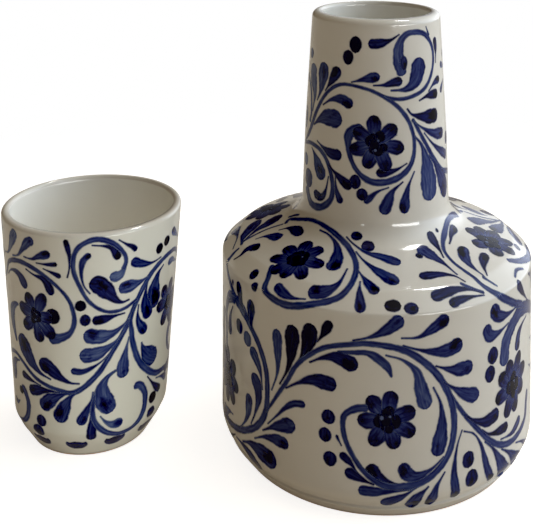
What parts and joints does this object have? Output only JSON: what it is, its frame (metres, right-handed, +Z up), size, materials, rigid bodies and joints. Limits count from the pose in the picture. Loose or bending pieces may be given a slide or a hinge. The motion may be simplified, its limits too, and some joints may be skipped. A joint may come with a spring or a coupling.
{
  "type": "talavera carafe with tumbler",
  "caption": "Hand-painted talavera bedside carafe with a tapering neck and bevelled shoulder, standing beside its matching tumbler, which also covers the neck upside down.",
  "frame": {"origin": "centre of the carafe's foot, on the plane the set stands on", "axes": "+Z up along the carafe's axis; the front is -Y; the tumbler stands on the -X side"},
  "size_m": [0.2649, 0.154, 0.21],
  "materials": {
    "carafe_glaze": "glossy off-white tin glaze with cobalt-blue painting",
    "tumbler_glaze": "glossy off-white tin glaze with cobalt-blue painting"
  },
  "bodies": {
    "carafe": {"carafe": "carafe_glaze"},
    "tumbler": {"tumbler": "tumbler_glaze"}
  },
  "joints": [
    {"name": "tumbler_lift", "type": "slide", "parent": "carafe", "child": "tumbler", "axis": [0, 0, 1], "range_m": [0, 0.22]}
  ]
}
